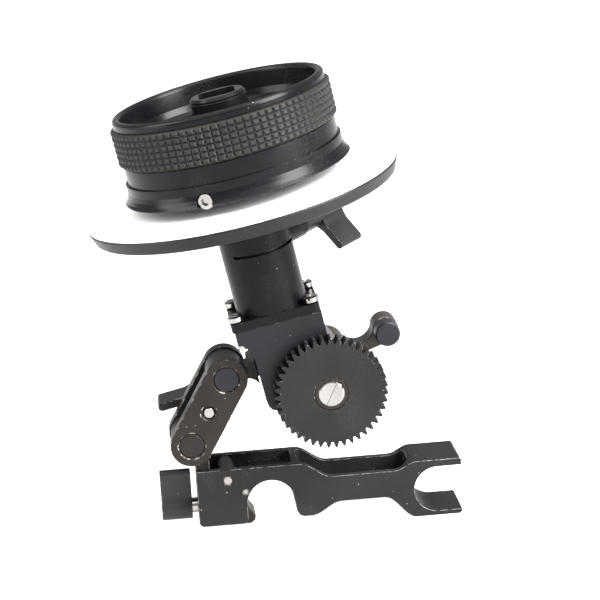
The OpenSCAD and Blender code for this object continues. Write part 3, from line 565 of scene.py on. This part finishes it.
@dataclass
class KnurledGrip:
    """The hand wheel's grip: rings of small four-sided points pressed into the metal.

    Args:
        points: how many points go round.
        rows: how many rows of them.
        depth: height of a point.
        inset: width of a point's slope.
        chamfer: height of the plain sloped edge below.
    """

    points: int = 88
    rows: int = 6
    depth: float = 0.62 * MM
    inset: float = 0.62 * MM
    chamfer: float = 0.5 * MM

    def build(self, axis: Matrix, effects: Effects) -> bpy.types.Object:
        """Models the grip from a cylinder and turns it onto the wheel's axis.

        Args:
            axis: the wheel's own frame, Z along its axis.
            effects: the shared node groups.

        Returns:
            The piece.
        """
        band = frame["nodes"]["grip_band"]
        local = [axis.inverted() @ v.co for v in band.data.vertices]
        low, high = min(p.z for p in local), max(p.z for p in local)
        outer = max(math.hypot(p.x, p.y) for p in local)
        inner = min(math.hypot(p.x, p.y) for p in local)
        root = outer - self.depth
        deselect_all()
        bpy.ops.mesh.primitive_cylinder_add(
            vertices=self.points, radius=root, depth=high - low - 2 * self.chamfer,
            end_fill_type="NOTHING", location=(0, 0, (low + high) / 2))
        piece = bpy.context.object
        bpy.ops.object.mode_set(mode="EDIT")
        self.select_upright(piece)
        bpy.ops.mesh.subdivide(number_cuts=self.rows - 1)
        bpy.ops.mesh.select_all(action="SELECT")
        bpy.ops.mesh.select_mode(type="FACE")
        bpy.ops.mesh.inset(thickness=self.inset, depth=self.depth, use_individual=True, use_boundary=True)
        bpy.ops.mesh.select_mode(type="EDGE")
        for side in (-1, 1):
            self.select_rim(piece, side)
            bpy.ops.mesh.extrude_edges_move(
                TRANSFORM_OT_translate={"value": (0, 0, side * self.chamfer)})
            share = inner / root
            bpy.ops.transform.resize(value=(share, share, 1), center_override=(0, 0, 0))
        bpy.ops.mesh.select_all(action="SELECT")
        bpy.ops.mesh.normals_make_consistent(inside=False)
        bpy.ops.object.mode_set(mode="OBJECT")
        piece.matrix_world = axis @ piece.matrix_world
        piece.data.materials.append(GRIP_GREY.material(effects))
        settle(piece, "knurled_grip", "wheel")
        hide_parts("grip_band")
        return piece

    @staticmethod
    def select_upright(piece: bpy.types.Object) -> None:
        """Selects the edges that run along the axis."""
        bpy.ops.mesh.select_all(action="DESELECT")
        bpy.ops.mesh.select_mode(type="EDGE")
        mesh = bmesh.from_edit_mesh(piece.data)
        for edge in mesh.edges:
            run = edge.verts[1].co - edge.verts[0].co
            edge.select_set(abs(run.z) > 0.9 * run.length)
        bmesh.update_edit_mesh(piece.data)

    @staticmethod
    def select_rim(piece: bpy.types.Object, side: int) -> None:
        """Selects the open rim at the top or the bottom."""
        bpy.ops.mesh.select_all(action="DESELECT")
        mesh = bmesh.from_edit_mesh(piece.data)
        end = max(v.co.z * side for v in mesh.verts)
        for edge in mesh.edges:
            on_end = all(abs(v.co.z * side - end) < 0.01 * MM for v in edge.verts)
            edge.select_set(edge.is_boundary and on_end)
        bmesh.update_edit_mesh(piece.data)


# ---------- studio ----------


@dataclass
class Studio:
    """Camera, lights and floor, as in the photograph.

    Args:
        right: the camera's right-hand direction.
        up: its upward direction.
        back: the direction from the object to it.
        place: where it stands, in millimetres.
        lens: its focal length for a 36 mm wide sensor.
    """

    right: Vector = field(default_factory=lambda: Vector((0.99387, -0.09768, -0.05178)))
    up: Vector = field(default_factory=lambda: Vector((0.07571, 0.26003, 0.96263)))
    back: Vector = field(default_factory=lambda: Vector((-0.08056, -0.96065, 0.26583)))
    place: Vector = field(default_factory=lambda: Vector((-34.5, -564.6, 223.6)))
    lens: float = 111.7

    def camera(self) -> None:
        """Adds the camera at the photograph's viewing angle."""
        data = bpy.data.cameras.new("camera")
        data.lens = self.lens
        data.sensor_width = 36.0
        made = bpy.data.objects.new("camera", data)
        bpy.context.scene.collection.objects.link(made)
        turn = Matrix((self.right, self.up, self.back)).transposed().to_4x4()
        made.matrix_world = Matrix.Translation(self.place * MM) @ turn
        bpy.context.scene.camera = made

    def lamp(self, name: str, side: float, height: float, far: float, size: tuple[float, float],
             power: float) -> None:
        """Adds an area light that looks at the unit's middle.

        Args:
            name: the light's name.
            side: its bearing in degrees to the right of the camera.
            height: its elevation in degrees.
            far: its distance in metres.
            size: its width and height in metres.
            power: its power in watts.
        """
        data = bpy.data.lights.new(name, "AREA")
        data.shape = "RECTANGLE"
        data.size, data.size_y = size
        data.energy = power
        made = bpy.data.objects.new(name, data)
        bpy.context.scene.collection.objects.link(made)
        bearing, rise = math.radians(side + CAMERA_BEARING), math.radians(height)
        aim = Vector((0.01, 0.008, 0.07))
        way = Vector((math.cos(bearing) * math.cos(rise), math.sin(bearing) * math.cos(rise), math.sin(rise)))
        made.location = aim + way * far
        made.rotation_euler = way.to_track_quat("Z", "Y").to_euler()

    def sky(self) -> None:
        """Adds the wide soft light from above, a little from the front, that keeps the floor white."""
        data = bpy.data.lights.new("sky", "SUN")
        data.energy = 3.0
        data.angle = math.radians(80)
        made = bpy.data.objects.new("sky", data)
        made.rotation_euler = (math.radians(12), 0, 0)
        bpy.context.scene.collection.objects.link(made)

    def floor(self) -> None:
        """Adds the pale floor under the unit's lowest point."""
        low = CAD_BOX[0][2] - FLOOR_GAP
        deselect_all()
        bpy.ops.mesh.primitive_plane_add(size=FLOOR_SIZE, location=(0, 4, low))
        plane = bpy.context.object
        plane.name = "floor"
        made = bpy.data.materials.new("pale_floor")
        made.use_nodes = True
        shader = made.node_tree.nodes["Principled BSDF"]
        shader.inputs["Base Color"].default_value = (0.35, 0.35, 0.35, 1)
        shader.inputs["Roughness"].default_value = 0.6
        shader.inputs["Emission Color"].default_value = (1, 1, 1, 1)
        shader.inputs["Emission Strength"].default_value = 0.95
        plane.data.materials.append(made)

    def build(self) -> None:
        """Sets up the whole studio."""
        self.camera()
        self.floor()
        world = bpy.data.worlds.new("studio")
        world.use_nodes = True
        world.node_tree.nodes["Background"].inputs["Color"].default_value = (1, 1, 1, 1)
        world.node_tree.nodes["Background"].inputs["Strength"].default_value = 0.5
        bpy.context.scene.world = world
        self.lamp("key_left", -75, 25, 0.9, (0.5, 0.8), 11)
        self.lamp("strip_right", 58, 35, 0.8, (0.4, 0.8), 34)
        self.sky()
        bpy.context.scene.view_settings.view_transform = "Standard"


# ---------- the unit ----------


@dataclass
class FollowFocus:
    """The whole unit: which nodes are softened, and how the rest are dressed."""

    softened: tuple[SoftenedNode, ...] = (
        SoftenedNode("base_bridge", 0.3 * MM), SoftenedNode("rod_clamp_jaw", 0.25 * MM),
        SoftenedNode("base_clamp_lever", 0.3 * MM), SoftenedNode("link_front_plate", 0.35 * MM),
        SoftenedNode("link_rear_plate", 0.35 * MM), SoftenedNode("link_clamp_lever", 0.35 * MM),
        SoftenedNode("swing_arm", 0.3 * MM), SoftenedNode("tilt_lever", 0.5 * MM),
        SoftenedNode("gearbox_housing", 0.25 * MM), SoftenedNode("neck_tube", 0.15 * MM),
        SoftenedNode("disc_clamp_lever", 0.35 * MM), SoftenedNode("drive_gear", 0.12 * MM),
    )

    def wheel_axis(self) -> Matrix:
        """Returns the wheel's frame: its gear-height point, and Z along its axis."""
        joint = next(j for j in frame["joints"] if j["name"] == "wheel_spin")
        along = Vector(joint["axis"]).normalized()
        across = Vector((0, 1, 0)).cross(along).normalized()
        depth = along.cross(across)
        turn = Matrix((across, depth, along)).transposed().to_4x4()
        return Matrix.Translation(Vector(joint["pos_m"])) @ turn

    def dress_nodes(self, effects: Effects) -> None:
        """Gives every CAD node its finish.

        Args:
            effects: the shared node groups.
        """
        for name, node in frame["nodes"].items():
            node.data.materials.clear()
            node.data.materials.append(NODE_FINISH[name].material(effects))

    def build(self, effects: Effects) -> None:
        """Builds and dresses all pieces.

        Args:
            effects: the shared node groups.
        """
        self.dress_nodes(effects)
        for piece in self.softened:
            piece.build(effects)
        KnurledGrip().build(self.wheel_axis(), effects)


def main() -> None:
    """Builds the studio and the unit in order."""
    logging.basicConfig(level=logging.INFO, format="%(message)s")
    effects = Effects()
    Studio().build()
    FollowFocus().build(effects)


if __name__ == "__main__":
    main()
